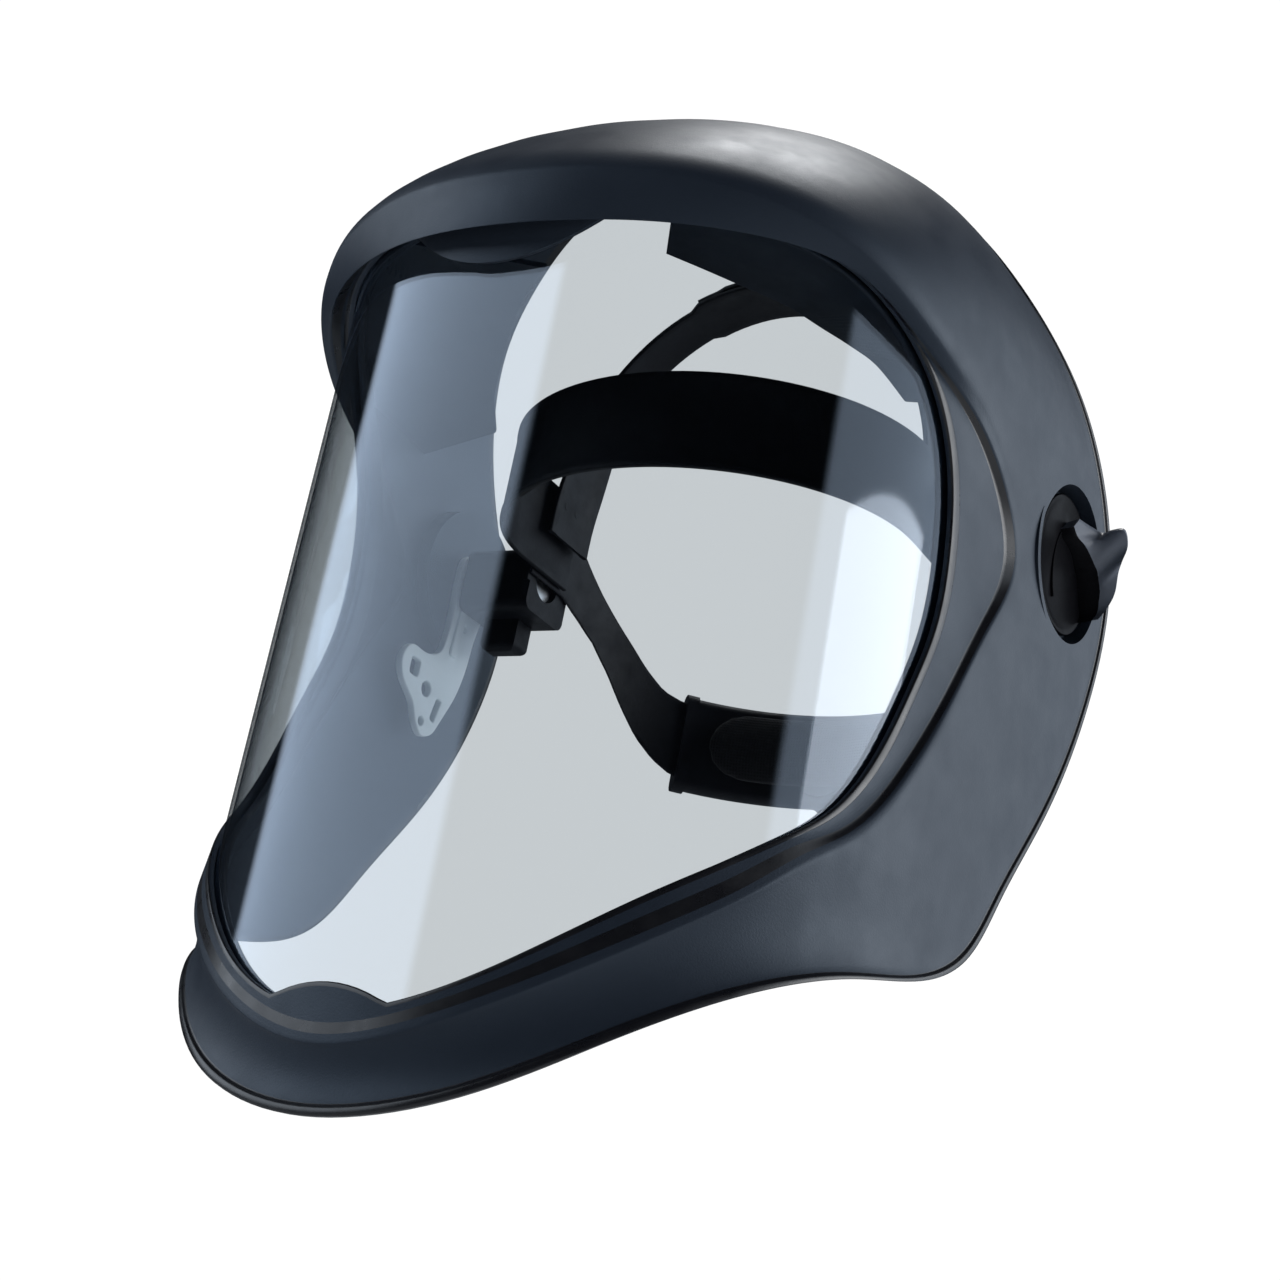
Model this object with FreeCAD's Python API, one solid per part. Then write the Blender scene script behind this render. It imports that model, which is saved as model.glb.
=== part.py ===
import FreeCAD, Part
import math
import os

# Flip-up face shield: a moulded shell holding a clear window, tilting on a ratchet headgear.
# Frame: origin on the tilt axis midway between the pivots, +X the wearer's left, -Y forward, +Z up.
# Millimetres throughout.

Vector = FreeCAD.Vector

# Window pane: part of an upright cylinder
PANE_R = 118.5
PANE_T = 1.2
PANE_Y = -67.5
PANE_BITE = 4.5
PANE_SIDE_ANGLE = 88.2
PANE_MIDDLE_Z = -38.0
PANE_SIDE_HALF = 22.0
PANE_PLAY = 0.5
GROOVE_GAP = 0.25
GROOVE_END_GAP = 0.6

# Shell
RIM_R = 121.0
FLANGE_R = 114.5
FLANGE_W = 8.5
WALL = 2.6
RING_STEPS = 3
CROWN_STEPS = (0.12, 0.3, 0.55, 0.8)
DISH_R = 28.0
DISH_TOP = 150.0
DISH_WALL_END = 128.0
BORE_R = 5.0

# Brow shelf, closing the gap between the brow and the forehead on each side:
# outer point within the wall, and inner edge
SHELF_T = 2.0
SHELF = (
    ((51.4, -171, 51), (24, -128, 63.6)), ((63, -164.5, 51.5), (34, -121, 61)),
    ((77.3, -153.4, 51), (44.5, -111, 59)), ((94.6, -133.8, 48), (55.5, -98.5, 57.5)),
    ((103.9, -118.2, 41.5), (60, -93.5, 56)), ((120, -103, 40.5), (65, -87, 54)),
    ((125.5, -76, 41.5), (72, -78, 51.5)), ((128.6, -52, 42.5), (79, -68.5, 48)),
    ((129.6, -40, 42), (85, -55, 41)),
)

# Stack on the tilt axis, as distances from the middle
BRACKET_END = 117.0
INNER_WASHER = (117.0, 118.4)
ARM = (118.6, 121.9)
DISH_FLOOR = (122.0, 124.6)
OUTER_WASHER = (124.8, 126.0)
KNOB_BASE = 126.2
KNOB_FACE = 131.2
KNOB_R = 25.0
KNOB_TIP = 149.0
STUD_R = 4.95
STUD_HEAD_R = 8.0
STUD_HEAD = (88.0, 91.0)
STUD_END = 129.6

# Tilt arm and the shell's lug that holds its foot
LUG_AT = (-18.0, -51.0)
LUG_R = 3.0
LUG_END = 129.0
ARM_RING_R = 11.0
ARM_BAR_W = 15.0
ARM_FOOT_R = 12.5
ARM_TOE = (-30.0, -47.0, 8.0)
ARM_TIP = (-11.0, -64.0, 6.0)

# Thumb fin of the clamp knob: crescent plan (y, z) and side outline (x, z)
FIN_PLAN = ((1, 21), (12, 18), (19, 10), (21.5, 0), (20, -10), (15, -18.5), (10, -17),
            (13, -9), (13, 0), (9.5, 8), (-2, 14.5))
FIN_SIDE = ((129, 23), (140, 20), (149, 18), (149, 11), (143.5, 4), (140.5, -6), (139, -21), (129, -21))

# Headgear
BAND_X = 82.0
BAND_Y = -23.0
BAND_DEPTH = 70.0
BAND_T = 2.0
BAND_Z = (0.0, 37.0)
BAND_BACK = 8.0
PAD_T = 8.0
NAPE_CENTRE_Y = 10.0
NAPE_X = 84.2
NAPE_REACH = 88.0
NAPE_T = 1.6
CROWN_X = 79.6
CROWN_RISE = 98.0
CROWN_Z = 20.0
CROWN_Y = (-18.0, 2.0)
RATCHET_Z = -39.0
HOUSING_HALF_HEIGHT = 19.0
HOUSING_HALF_ANGLE = 42.0
PINION_R = 6.0
PINION_TEETH = 10
RATCHET_KNOB_Y = 105.0
RATCHET_KNOB_R = 19.0
SCALLOPS = 12

# Stations round the left half of the shell, from the top centre to the bottom centre:
# window edge (angle from straight ahead, height), ridge (x, y, z), free edge (x, y, z),
# depth of the lip under the ridge, share of the way from window to lip where the recessed
# facet ends, recess of that facet, bulge of the wall between ridge and free edge.
STATIONS = (
    ((0, 47), (0, -200, 51), (0, -66, 144), 20, 0.25, 0.0, 14.0),
    ((20, 47), (45, -190, 53), (34, -62, 141), 19, 0.25, 0.0, 14.0),
    ((38, 47), (81, -170, 51), (63, -56, 132), 15, 0.3, 0.0, 14.0),
    ((55, 43), (108, -141, 42), (90, -42, 118), 9, 0.5, 0.0, 12.0),
    ((67, 32), (119, -114, 31), (110, -28, 97), 6, 0.7, 0.8, 9.0),
    ((76, 17), (125, -82, 21), (126, -5, 70), 4.5, 0.85, 1.4, 5.0),
    ((82, -2), (127.5, -52, 5), (132.5, 18, 42), 3, 0.9, 2.0, 2.5),
    ((85, -28), (128.5, -38, -14), (132.5, 38, 8), 2.5, 0.9, 2.0, 1.5),
    ((84.5, -55), (128, -50, -44), (131, 34, -40), 2.5, 0.9, 2.0, 1.5),
    ((80, -82), (126, -66, -75), (129.5, 8, -92), 2.5, 0.9, 2.0, 1.5),
    ((74, -110), (124, -86, -108), (129, -20, -129), 2.5, 0.9, 2.0, 1.5),
    ((66, -133), (117.5, -106, -136), (128.5, -41, -155), 2.5, 0.8, 1.0, 1.0),
    ((60, -143), (110.5, -122, -149), (126, -62, -167), 2.0, 0.6, 0.0, 0.0),
    ((52, -155), (102, -136, -163), (118, -98, -177), 2.0, 0.6, 0.0, -1.5),
    ((42, -170), (88, -152, -179), (102, -131, -191.5), 2.0, 0.6, 0.0, -2.0),
    ((30, -189), (66, -169, -198), (80, -156, -211), 2.0, 0.6, 0.0, -2.0),
    ((16, -208), (36, -183, -217), (45, -178, -236), 2.0, 0.6, 0.0, -2.0),
    ((0, -217), (0, -188.5, -227), (0, -187, -247), 2.0, 0.6, 0.0, -2.0),
)
SHELL_CORE = Vector(0, -70, -60)

# Side bracket: sizes (x, y, z) and places of its plate, block and tail
BRACKET_PLATE = (2.6, 26.0, 30.0)
BRACKET_PLATE_AT = (-14.0, -4.0)
BRACKET_BLOCK = (28.0, 26.0)
BRACKET_BLOCK_AT = (-12.0, -15.0)
BRACKET_ROUND = 4.0
BRACKET_TAIL = (16.0, 10.0, 16.0)
BRACKET_TAIL_OUT = 10.0
BRACKET_TAIL_AT = (0.0, -28.0)
TAIL_ROUND = 3.0

# Nape ratchet: boss, pinion, shaft and the grip of its wheel
BOSS_R = 16.0
BOSS_Y = (94.0, 104.0)
PINION_Y = 96.4
PINION_T = 4.0
SHAFT_R = 3.0
SHAFT_START = 93.2
RATCHET_KNOB_T = 12.0
SCALLOP_R = 3.4
SCALLOP_OUT = 2.2

# Strap rivets (y, z)
RIVET_R = 2.0
RIVETS_AT = ((-10.0, 29.0), (-2.0, 29.0))


def on_pane(radius, angle, z):
    """Point at an angle from straight ahead on a cylinder about the pane's axis."""
    turn = math.radians(angle)
    return Vector(radius * math.sin(turn), PANE_Y - radius * math.cos(turn), z)


def away_from_window(index, distance):
    """The window edge of a station, moved away from the opening along the pane."""
    low = STATIONS[max(index - 1, 0)][0]
    high = STATIONS[min(index + 1, len(STATIONS) - 1)][0]
    along = math.radians(high[0] - low[0]) * PANE_R
    down = high[1] - low[1]
    if index in (0, len(STATIONS) - 1):
        down = 0.0
    length = math.hypot(along, down)
    angle, z = STATIONS[index][0]
    return angle - math.degrees(distance * down / length / PANE_R), z + distance * along / length


def outward(point, along, across):
    """Unit normal of the wall at a point, turned away from the middle of the shell."""
    normal = along.cross(across).normalize()
    if normal.dot(point - SHELL_CORE) < 0:
        normal = normal * -1
    return normal


def shell_section(index):
    """Closed list of points round the shell wall at one station."""
    window, ridge, edge, drop, share, recess, bulge = STATIONS[index]
    ridge = Vector(*ridge)
    edge = Vector(*edge)
    before = Vector(*STATIONS[max(index - 1, 0)][1])
    after = Vector(*STATIONS[min(index + 1, len(STATIONS) - 1)][1])
    along = after - before
    if index in (0, len(STATIONS) - 1):
        along = Vector(1, 0, 0)
    normal = outward((ridge + edge) * 0.5, along, edge - ridge)
    rim = on_pane(RIM_R, *window)
    side = min(index / 6.0, 1.0)
    toward_window = (rim - ridge).normalize()
    down = Vector(0, 0, -1)
    lip = ridge + (down * (1 - side) + toward_window * side) * drop
    inset = rim + (lip - rim) * share - Vector(1, 0, 0) * recess
    outer = [rim, inset, lip, ridge]
    inner = [ridge - normal * WALL]
    for step in CROWN_STEPS:
        rise = bulge * math.sin(math.pi * step) ** 0.6
        place = ridge + (edge - ridge) * step + normal * rise
        outer.append(place)
        inner.append(place - normal * WALL)
    outer.append(edge)
    inner.append(edge - normal * WALL)
    flange = on_pane(FLANGE_R, *window)
    flange_back = on_pane(FLANGE_R, *away_from_window(index, FLANGE_W))
    return outer + inner[::-1] + [flange_back, flange]


def closed_from(faces):
    """Solid bounded by faces that share their edges."""
    skin = Part.makeShell(faces)
    skin.sewShape()
    if skin.ShapeType != "Shell":
        skin = skin.Shells[0]
    solid = Part.makeSolid(skin)
    if solid.Volume < 0:
        solid.reverse()
    return solid


def evened(points, steps):
    """Closed smooth curve through the points, read at a few places between each pair."""
    knots = [0.0]
    for first, second in zip(points, points[1:] + points[:1]):
        knots.append(knots[-1] + max((second - first).Length, 1.0))
    curve = Part.BSplineCurve()
    curve.interpolate(Points=points, PeriodicFlag=True, Parameters=knots)
    places = []
    for start, end in zip(knots, knots[1:]):
        places += [curve.value(start + (end - start) * step / steps) for step in range(steps)]
    return places


def shell_blank():
    """One closed ring of wall round the window, drawn through every station on both sides."""
    sections = [shell_section(index) for index in range(len(STATIONS))]
    for points in sections[-2:0:-1]:
        sections.append([Vector(-p.x, p.y, p.z) for p in points])
    lines = [evened(list(line), RING_STEPS) for line in zip(*sections)]
    rings = [Part.makePolygon(list(points) + [points[0]]) for points in zip(*lines)]
    return Part.makeLoft(rings, True, False, True)


def trimmed_pane(inner_r, outer_r, bite, side_angle):
    """Pane between two radii, cut to the window outline plus a margin."""
    upper = []
    lower = []
    for index, station in enumerate(STATIONS):
        place = away_from_window(index, bite)
        if place[0] < side_angle - 2 and station[0][1] > PANE_MIDDLE_Z:
            upper.append(place)
        if place[0] < side_angle - 2 and station[0][1] < PANE_MIDDLE_Z:
            lower.insert(0, place)
    upper.append((side_angle, PANE_MIDDLE_Z + PANE_SIDE_HALF))
    lower.append((side_angle, PANE_MIDDLE_Z - PANE_SIDE_HALF))
    skins = []
    for radius in (inner_r, outer_r):
        rows = []
        for share in range(5):
            row = []
            for step in range(-24, 25):
                angle = side_angle * step / 24.0
                high = height_at(upper, abs(angle))
                low = height_at(lower, abs(angle))
                row.append(on_pane(radius, angle, low + (high - low) * share / 4.0))
            rows.append(row)
        surface = Part.BSplineSurface()
        surface.interpolate(rows)
        skins.append(surface.toShape())
    inner_edges = skins[0].Edges
    outer_edges = skins[1].Edges
    walls = [Part.makeRuledSurface(a, b) for a, b in zip(inner_edges, outer_edges)]
    return closed_from(skins + walls)


def height_at(outline, angle):
    """Height of an outline of (angle, height) points at an angle from straight ahead."""
    for (a0, z0), (a1, z1) in zip(outline, outline[1:]):
        if a0 <= angle <= a1:
            return z0 + (z1 - z0) * (angle - a0) / (a1 - a0)
    return outline[-1][1]


def rod(radius, start, end, y=0.0, z=0.0):
    """Cylinder along X between two distances from the middle."""
    return Part.makeCylinder(radius, end - start, Vector(start, y, z), Vector(1, 0, 0))


def other_side(shape):
    return shape.mirror(Vector(0, 0, 0), Vector(1, 0, 0))


def brow_shelf():
    """Left brow shelf, from the wall of the shell to its curved inner edge."""
    rings = []
    for outer, inner in SHELF:
        corners = [Vector(*outer), Vector(*inner)]
        corners += [p - Vector(0, 0, SHELF_T) for p in corners[::-1]]
        rings.append(Part.makePolygon(corners + corners[:1]))
    return Part.makeLoft(rings, True, True, False)


def make_shell():
    body = shell_blank().cut(trimmed_pane(
        PANE_R - PANE_T - GROOVE_GAP, PANE_R + GROOVE_GAP, PANE_BITE + GROOVE_END_GAP,
        PANE_SIDE_ANGLE + GROOVE_END_GAP,
    ))
    for side in (1, -1):
        dish = rod(DISH_R + WALL, DISH_FLOOR[0], DISH_WALL_END)
        hollow = rod(DISH_R, DISH_FLOOR[1], DISH_TOP)
        bore = rod(BORE_R, DISH_FLOOR[0] - 12, DISH_TOP)
        lug = rod(LUG_R, ARM[0], LUG_END, *LUG_AT)
        if side < 0:
            dish, hollow, bore, lug = [other_side(s) for s in (dish, hollow, bore, lug)]
        body = body.fuse(dish).fuse(lug).cut(hollow).cut(bore)
    shelf = brow_shelf()
    return body.fuse(shelf).fuse(other_side(shelf))


def make_arm():
    """Left tilt arm: a ring at the pivot, a bar, and a slotted foot held by the shell's lug."""
    bar = Part.makeBox(ARM[1] - ARM[0], ARM_BAR_W, math.hypot(*LUG_AT),
                       Vector(ARM[0], -ARM_BAR_W / 2, 0))
    bar.rotate(Vector(0, 0, 0), Vector(1, 0, 0), math.degrees(math.atan2(-LUG_AT[0], LUG_AT[1])))
    plate = rod(ARM_RING_R, *ARM).fuse(bar).fuse(rod(ARM_FOOT_R, *ARM, *LUG_AT))
    for y, z, radius in (ARM_TOE, ARM_TIP):
        plate = plate.fuse(rod(radius, *ARM, y, z))
    holes = [(BORE_R, 0.0, 0.0), (LUG_R, *LUG_AT), (2.4, ARM_TOE[0], ARM_TOE[1]), (1.6, *ARM_TIP[:2])]
    for radius, y, z in holes:
        plate = plate.cut(rod(radius, ARM[0] - 1, ARM[1] + 1, y, z))
    return plate


def strip(centre, thickness):
    """Closed flat face following a centre line of (u, v) points, in the XY plane."""
    sides = []
    for sign in (0.5, -0.5):
        points = []
        for index, place in enumerate(centre):
            before = centre[max(index - 1, 0)]
            after = centre[min(index + 1, len(centre) - 1)]
            du = after[0] - before[0]
            dv = after[1] - before[1]
            length = math.hypot(du, dv)
            shift = sign * thickness / length
            points.append(Vector(place[0] - dv * shift, place[1] + du * shift, 0))
        curve = Part.BSplineCurve()
        curve.interpolate(Points=points)
        sides.append((curve.toShape(), points))
    (first, p), (second, q) = sides
    ends = [Part.makeLine(p[-1], q[-1]), Part.makeLine(q[0], p[0])]
    return Part.Face(Part.Wire(Part.__sortEdges__([first, second] + ends)))


def upright_strip(centre, thickness, bottom, top):
    """Strap standing on edge along a plan line."""
    solid = strip(centre, thickness).extrude(Vector(0, 0, top - bottom))
    solid.translate(Vector(0, 0, bottom))
    return solid


def band_line(inset, angle_limit, back):
    """Plan of the forehead band, moved inwards, from its left end round the front."""
    places = []
    for step in range(-12, 13):
        turn = math.radians(angle_limit * step / 12.0)
        x = (BAND_X - inset) * math.sin(turn)
        y = BAND_Y - (BAND_DEPTH - inset) * math.cos(turn)
        places.append((x, y))
    if back is not None:
        middle = (back + BAND_Y) / 2
        places = [(-(BAND_X - inset), back), (-(BAND_X - inset), middle)] + places
        places += [(BAND_X - inset, middle), (BAND_X - inset, back)]
    return places


def nape_line(inset, start_angle, end_angle, lead):
    """Plan round the back of the head; angles from straight back, positive to the left."""
    places = []
    if lead is not None:
        places.append((NAPE_X - inset, lead))
        places.append((NAPE_X - inset, (lead + NAPE_CENTRE_Y) / 2))
    for step in range(17):
        turn = math.radians(start_angle + (end_angle - start_angle) * step / 16.0)
        x = (NAPE_X - inset) * math.sin(turn)
        y = NAPE_CENTRE_Y + (NAPE_REACH - inset) * math.cos(turn)
        places.append((x, y))
    return places


def make_nape_strap(rack):
    """Left nape strap, falling from the side of the band to its rack in the housing."""
    line = nape_line(0.0, 90.0, -14.0, -14.0)
    strap = upright_strip(line, NAPE_T, -70.0, 40.0)
    profile = [(-16, 4), (-4, 4), (76, RATCHET_Z - 16), (84, rack[0]), (120, rack[0])]
    profile += [(120, rack[1]), (84, rack[1]), (76, RATCHET_Z + 8), (8, 24), (-16, 24)]
    corners = [Vector(-100, y, z) for y, z in profile]
    side = Part.Face(Part.makePolygon(corners + corners[:1]))
    return strap.common(side.extrude(Vector(200, 0, 0)))


def make_crown_strap(inset):
    """Left crown strap, arching from the side of the band over the head and past the middle."""
    places = []
    for step in range(15):
        turn = math.radians(90.0 - 112.0 * step / 14.0)
        x = (CROWN_X - inset) * math.sin(turn)
        z = CROWN_Z + (CROWN_RISE - inset) * math.cos(turn)
        places.append((x, z))
    places.insert(0, (CROWN_X - inset, CROWN_Z - 6))
    face = strip(places, BAND_T)
    face.rotate(Vector(0, 0, 0), Vector(1, 0, 0), 90)
    solid = face.extrude(Vector(0, CROWN_Y[1] - CROWN_Y[0], 0))
    solid.translate(Vector(0, CROWN_Y[0], 0))
    return solid


def make_bracket():
    """Left side bracket: a plate on the band and the block that reaches out to the pivot."""
    root = NAPE_X + 1.0
    plate = Part.makeBox(*BRACKET_PLATE, Vector(root, *BRACKET_PLATE_AT))
    block = Part.makeBox(BRACKET_END - root, *BRACKET_BLOCK, Vector(root, *BRACKET_BLOCK_AT))
    block = block.makeFillet(BRACKET_ROUND, [e for e in block.Edges if e.Length > max(BRACKET_BLOCK)])
    tail = Part.makeBox(*BRACKET_TAIL, Vector(root + BRACKET_TAIL_OUT, *BRACKET_TAIL_AT))
    foot = BRACKET_TAIL_AT[1]
    tail = tail.makeFillet(TAIL_ROUND, [e for e in tail.Edges if e.BoundBox.ZMax < foot + 0.01])
    pocket = rod(STUD_HEAD_R, NAPE_X, STUD_HEAD[1])
    return plate.fuse(block).fuse(tail).cut(rod(BORE_R, NAPE_X, BRACKET_END + 1)).cut(pocket)


def make_stud():
    head = rod(STUD_HEAD_R - 0.1, *STUD_HEAD)
    return head.fuse(rod(STUD_R, STUD_HEAD[1], STUD_END))


def washer(span, outer_r):
    return rod(outer_r, *span).cut(rod(BORE_R, span[0] - 1, span[1] + 1))


def make_knob():
    """Left clamp knob: a round base with a curved thumb fin, threaded on the stud."""
    base = rod(KNOB_R, KNOB_BASE, KNOB_FACE)
    base = base.makeFillet(1.5, [base.Edges[0], base.Edges[2]])
    plan = [Vector(FIN_SIDE[0][0], y, z) for y, z in FIN_PLAN]
    side = [Vector(x, -KNOB_R, z) for x, z in FIN_SIDE]
    fin = Part.Face(Part.makePolygon(plan + plan[:1])).extrude(Vector(KNOB_TIP - FIN_SIDE[0][0], 0, 0))
    fin = fin.common(Part.Face(Part.makePolygon(side + side[:1])).extrude(Vector(0, 2 * KNOB_R, 0)))
    return base.fuse(fin).cut(rod(STUD_R + 0.05, KNOB_BASE - 1, STUD_END + 0.5))


def housing_part(inset, thickness, half_angle, low, high):
    line = nape_line(inset, half_angle, -half_angle, None)
    return upright_strip(line, thickness, low, high)


def make_housing():
    """Ratchet housing: inner plate and outer cover with a channel for the straps between them."""
    low = RATCHET_Z - HOUSING_HALF_HEIGHT
    high = RATCHET_Z + HOUSING_HALF_HEIGHT
    inner = housing_part(3.2, 2.0, HOUSING_HALF_ANGLE, low, high)
    outer = housing_part(-3.4, 5.0, HOUSING_HALF_ANGLE, low, high)
    channel = housing_part(-1.1, 3.9, HOUSING_HALF_ANGLE + 5, low + 2, high - 2)
    wide_rim = housing_part(-0.4, 3.6, HOUSING_HALF_ANGLE, low, high)
    cover = outer.fuse(wide_rim).cut(channel)
    y_axis = Vector(0, 1, 0)
    boss = Part.makeCylinder(BOSS_R, BOSS_Y[1] - BOSS_Y[0], Vector(0, BOSS_Y[0], RATCHET_Z), y_axis)
    boss = boss.cut(housing_part(0.0, 6.0, HOUSING_HALF_ANGLE, low - 10, high + 10))
    well = Part.makeCylinder(PINION_R + 0.4, 20.0, Vector(0, PINION_Y - 0.4, RATCHET_Z), y_axis)
    bore = Part.makeCylinder(SHAFT_R + 0.05, 30.0, Vector(0, 90.0, RATCHET_Z), y_axis)
    cover = cover.fuse(boss).cut(well)
    return inner.cut(bore), max(cover.Solids, key=lambda s: s.Volume)


def make_pinion():
    """Toothed wheel and its shaft, turning about Y between the two racks."""
    corners = []
    for tooth in range(PINION_TEETH):
        for share, radius in ((-0.3, PINION_R - 1.6), (-0.15, PINION_R), (0.15, PINION_R),
                              (0.3, PINION_R - 1.6)):
            turn = 2 * math.pi * (tooth + share) / PINION_TEETH
            corners.append(Vector(radius * math.cos(turn), 0, radius * math.sin(turn)))
    wheel = Part.Face(Part.makePolygon(corners + corners[:1])).extrude(Vector(0, PINION_T, 0))
    wheel.translate(Vector(0, PINION_Y, RATCHET_Z))
    start = Vector(0, SHAFT_START, RATCHET_Z)
    shaft = Part.makeCylinder(SHAFT_R, RATCHET_KNOB_Y - SHAFT_START, start, Vector(0, 1, 0))
    return wheel.fuse(shaft)


def make_ratchet_knob():
    """Scalloped hand wheel that tightens the nape strap."""
    y_axis = Vector(0, 1, 0)
    wheel = Part.makeCylinder(RATCHET_KNOB_R, RATCHET_KNOB_T, Vector(0, RATCHET_KNOB_Y, RATCHET_Z), y_axis)
    for lobe in range(SCALLOPS):
        turn = 2 * math.pi * lobe / SCALLOPS
        place = Vector(
            (RATCHET_KNOB_R + SCALLOP_OUT) * math.cos(turn), RATCHET_KNOB_Y - 1,
            RATCHET_Z + (RATCHET_KNOB_R + SCALLOP_OUT) * math.sin(turn),
        )
        wheel = wheel.cut(Part.makeCylinder(SCALLOP_R, RATCHET_KNOB_T + 2, place, y_axis))
    return wheel


def make_rivets():
    """Two rivets a side, joining the straps to the band."""
    pins = []
    for side in (1, -1):
        for y, z in RIVETS_AT:
            pin = rod(RIVET_R, CROWN_X - 3.4, BAND_X + 2.2, y, z)
            pins.append(pin if side > 0 else other_side(pin))
    return Part.makeCompound(pins)


def export(name, shape):
    shape.exportStep("parts/" + name + ".step")
    print(name, shape.isValid(), len(shape.Solids), round(shape.Volume / 1000.0, 2))


def main():
    os.makedirs("parts", exist_ok=True)
    rivets = make_rivets()
    band = upright_strip(band_line(0.0, 90.0, BAND_BACK), BAND_T, *BAND_Z).cut(rivets)
    housing_base, housing_cover = make_housing()
    export("shell", make_shell())
    export("window_pane", trimmed_pane(PANE_R - PANE_T, PANE_R, PANE_BITE - PANE_PLAY, PANE_SIDE_ANGLE))
    export("headband", band)
    export("brow_pad", upright_strip(band_line(PAD_T / 2 + 1.3, 62.0, None), PAD_T, 2.0, 35.0))
    export("nape_housing_inner", housing_base)
    export("nape_housing_cover", housing_cover)
    export("nape_pad", housing_part(4.6 + PAD_T / 2, PAD_T - 1.0, 36.0, RATCHET_Z - 16, RATCHET_Z + 16))
    export("ratchet_pinion", make_pinion())
    export("ratchet_knob", make_ratchet_knob())
    export("strap_rivets", rivets)
    upper_rack = (RATCHET_Z + PINION_R + 0.2, RATCHET_Z + 15.5)
    lower_rack = (RATCHET_Z - 15.5, RATCHET_Z - PINION_R - 0.2)
    nape = {"left": make_nape_strap(upper_rack), "right": other_side(make_nape_strap(lower_rack))}
    crown = {"left": make_crown_strap(0.0), "right": other_side(make_crown_strap(2.3))}
    for side, flip in (("left", False), ("right", True)):
        pieces = {
            "tilt_arm": make_arm(),
            "side_bracket": make_bracket(),
            "pivot_stud": make_stud(),
            "inner_washer": washer(INNER_WASHER, 10.0),
            "outer_washer": washer(OUTER_WASHER, 18.0),
            "clamp_knob": make_knob(),
        }
        for name, shape in pieces.items():
            export(name + "_" + side, other_side(shape) if flip else shape)
        export("nape_strap_" + side, nape[side].cut(rivets))
        export("crown_strap_" + side, crown[side].cut(rivets))


main()
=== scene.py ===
import math
import bmesh
import bpy
import numpy as np
from mathutils import Matrix, Vector


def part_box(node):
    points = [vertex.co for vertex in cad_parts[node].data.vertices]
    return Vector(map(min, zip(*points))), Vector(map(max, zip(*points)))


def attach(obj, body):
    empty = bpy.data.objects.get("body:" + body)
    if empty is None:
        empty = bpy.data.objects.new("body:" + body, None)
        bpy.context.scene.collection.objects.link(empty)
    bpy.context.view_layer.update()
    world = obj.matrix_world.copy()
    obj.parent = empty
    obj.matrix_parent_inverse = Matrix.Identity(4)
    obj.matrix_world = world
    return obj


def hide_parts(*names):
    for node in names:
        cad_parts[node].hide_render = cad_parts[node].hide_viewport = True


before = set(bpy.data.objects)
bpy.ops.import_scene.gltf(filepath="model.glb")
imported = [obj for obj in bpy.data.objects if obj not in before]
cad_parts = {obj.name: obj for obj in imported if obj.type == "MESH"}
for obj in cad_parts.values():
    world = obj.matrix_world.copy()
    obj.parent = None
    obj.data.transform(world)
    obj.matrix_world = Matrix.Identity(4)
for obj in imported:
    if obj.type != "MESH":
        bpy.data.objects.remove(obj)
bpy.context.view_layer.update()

MM = 0.001

# Window pane: part of an upright cylinder about a vertical axis
PANE_R = 118.5
PANE_T = 1.2
PANE_Y = -67.5
PANE_BITE = 4.2
PANE_SIDE_ANGLE = 88.2
PANE_MIDDLE_Z = -38.0
PANE_SIDE_HALF = 22.0

# Shell wall
RIM_R = 121.0
RIM_LIP_R = 118.8
RIM_W = 4.0
FLANGE_OUT_R = 117.0
FLANGE_R = 114.5
FLANGE_W = 8.5
GROOVE_DEPTH = 5.0
WALL = 2.6
CROWN_STEPS = (0.03, 0.07, 0.12, 0.2, 0.3, 0.42, 0.55, 0.68, 0.8, 0.9)
BEAD_W = 3.2
BEAD_H = 1.1
RING_STEPS = 10
TOP_TAB = (41.0, 21.0)
CHIN_TAB = (20.0, 8.0)
DISH_R = 28.0
DISH_FLOOR = 124.6
DISH_BACK = 122.0
DISH_BRINK = 130.9
BORE_R = 5.2
DISH_WALL = 2.4
FAR_OUT = 150.0
WELD = 0.00001

# Thumb blade of the clamp knob, from its upper end to its foot: front edge and crest, (x, y, z)
KNOB_FLOOR = 128.6
KNOB_REACH = 24.7
KNOB_BLADE = (
    ((133.0, -4.5, 12.5), (133.5, -2.0, 16.0)),
    ((134.0, -2.5, 9.5), (136.0, 3.5, 15.5)),
    ((135.0, 3.0, 8.5), (139.0, 8.0, 15.0)),
    ((135.5, 8.0, 7.0), (143.0, 6.0, 15.0)),
    ((136.0, 12.0, 5.0), (148.0, 5.0, 14.5)),
    ((136.0, 15.5, 4.0), (148.0, 10.0, 10.5)),
    ((136.0, 18.5, 1.0), (146.0, 12.0, 6.0)),
    ((136.0, 20.5, -1.5), (143.0, 17.5, 3.5)),
    ((135.5, 22.0, -4.5), (141.0, 22.0, -2.0)),
    ((135.0, 23.0, -8.5), (138.5, 23.0, -7.0)),
    ((134.0, 21.5, -12.5), (136.0, 21.8, -12.0)),
)

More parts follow.
